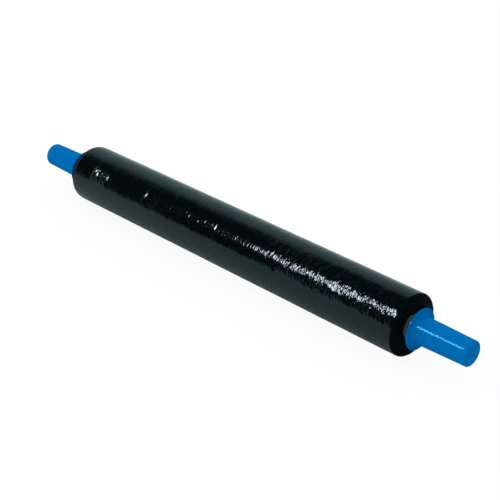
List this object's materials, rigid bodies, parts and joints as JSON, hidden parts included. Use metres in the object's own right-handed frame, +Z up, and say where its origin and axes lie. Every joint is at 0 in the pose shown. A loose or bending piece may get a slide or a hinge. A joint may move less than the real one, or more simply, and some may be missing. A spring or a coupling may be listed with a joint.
{
  "type": "stretch wrap roll",
  "caption": "Hand roll of black stretch film on a cardboard core, lying on its side, with a blue plastic grip turning in each end.",
  "frame": {"origin": "middle of the whole length over both grips, on the surface that the roll lies on, straight below the roll's axis", "axes": "+X along the roll's axis, +Z up, +Y across the roll"},
  "size_m": [0.6432, 0.067, 0.0664],
  "materials": {
    "stretch_film": "gloss",
    "core_board": "matte",
    "blue_plastic": "satin"
  },
  "bodies": {
    "roll": {"film_roll": "stretch_film", "core_tube": "core_board"},
    "right_grip": {"right_handle": "blue_plastic"},
    "left_grip": {"left_handle": "blue_plastic"}
  },
  "joints": [
    {"name": "right_handle_spin", "type": "hinge", "parent": "roll", "child": "right_grip", "pos_m": [0.25, 0, 0.03299], "axis": [1, 0, 0], "continuous": true},
    {"name": "left_handle_spin", "type": "hinge", "parent": "roll", "child": "left_grip", "pos_m": [-0.25, 0, 0.03299], "axis": [1, 0, 0], "continuous": true}
  ]
}
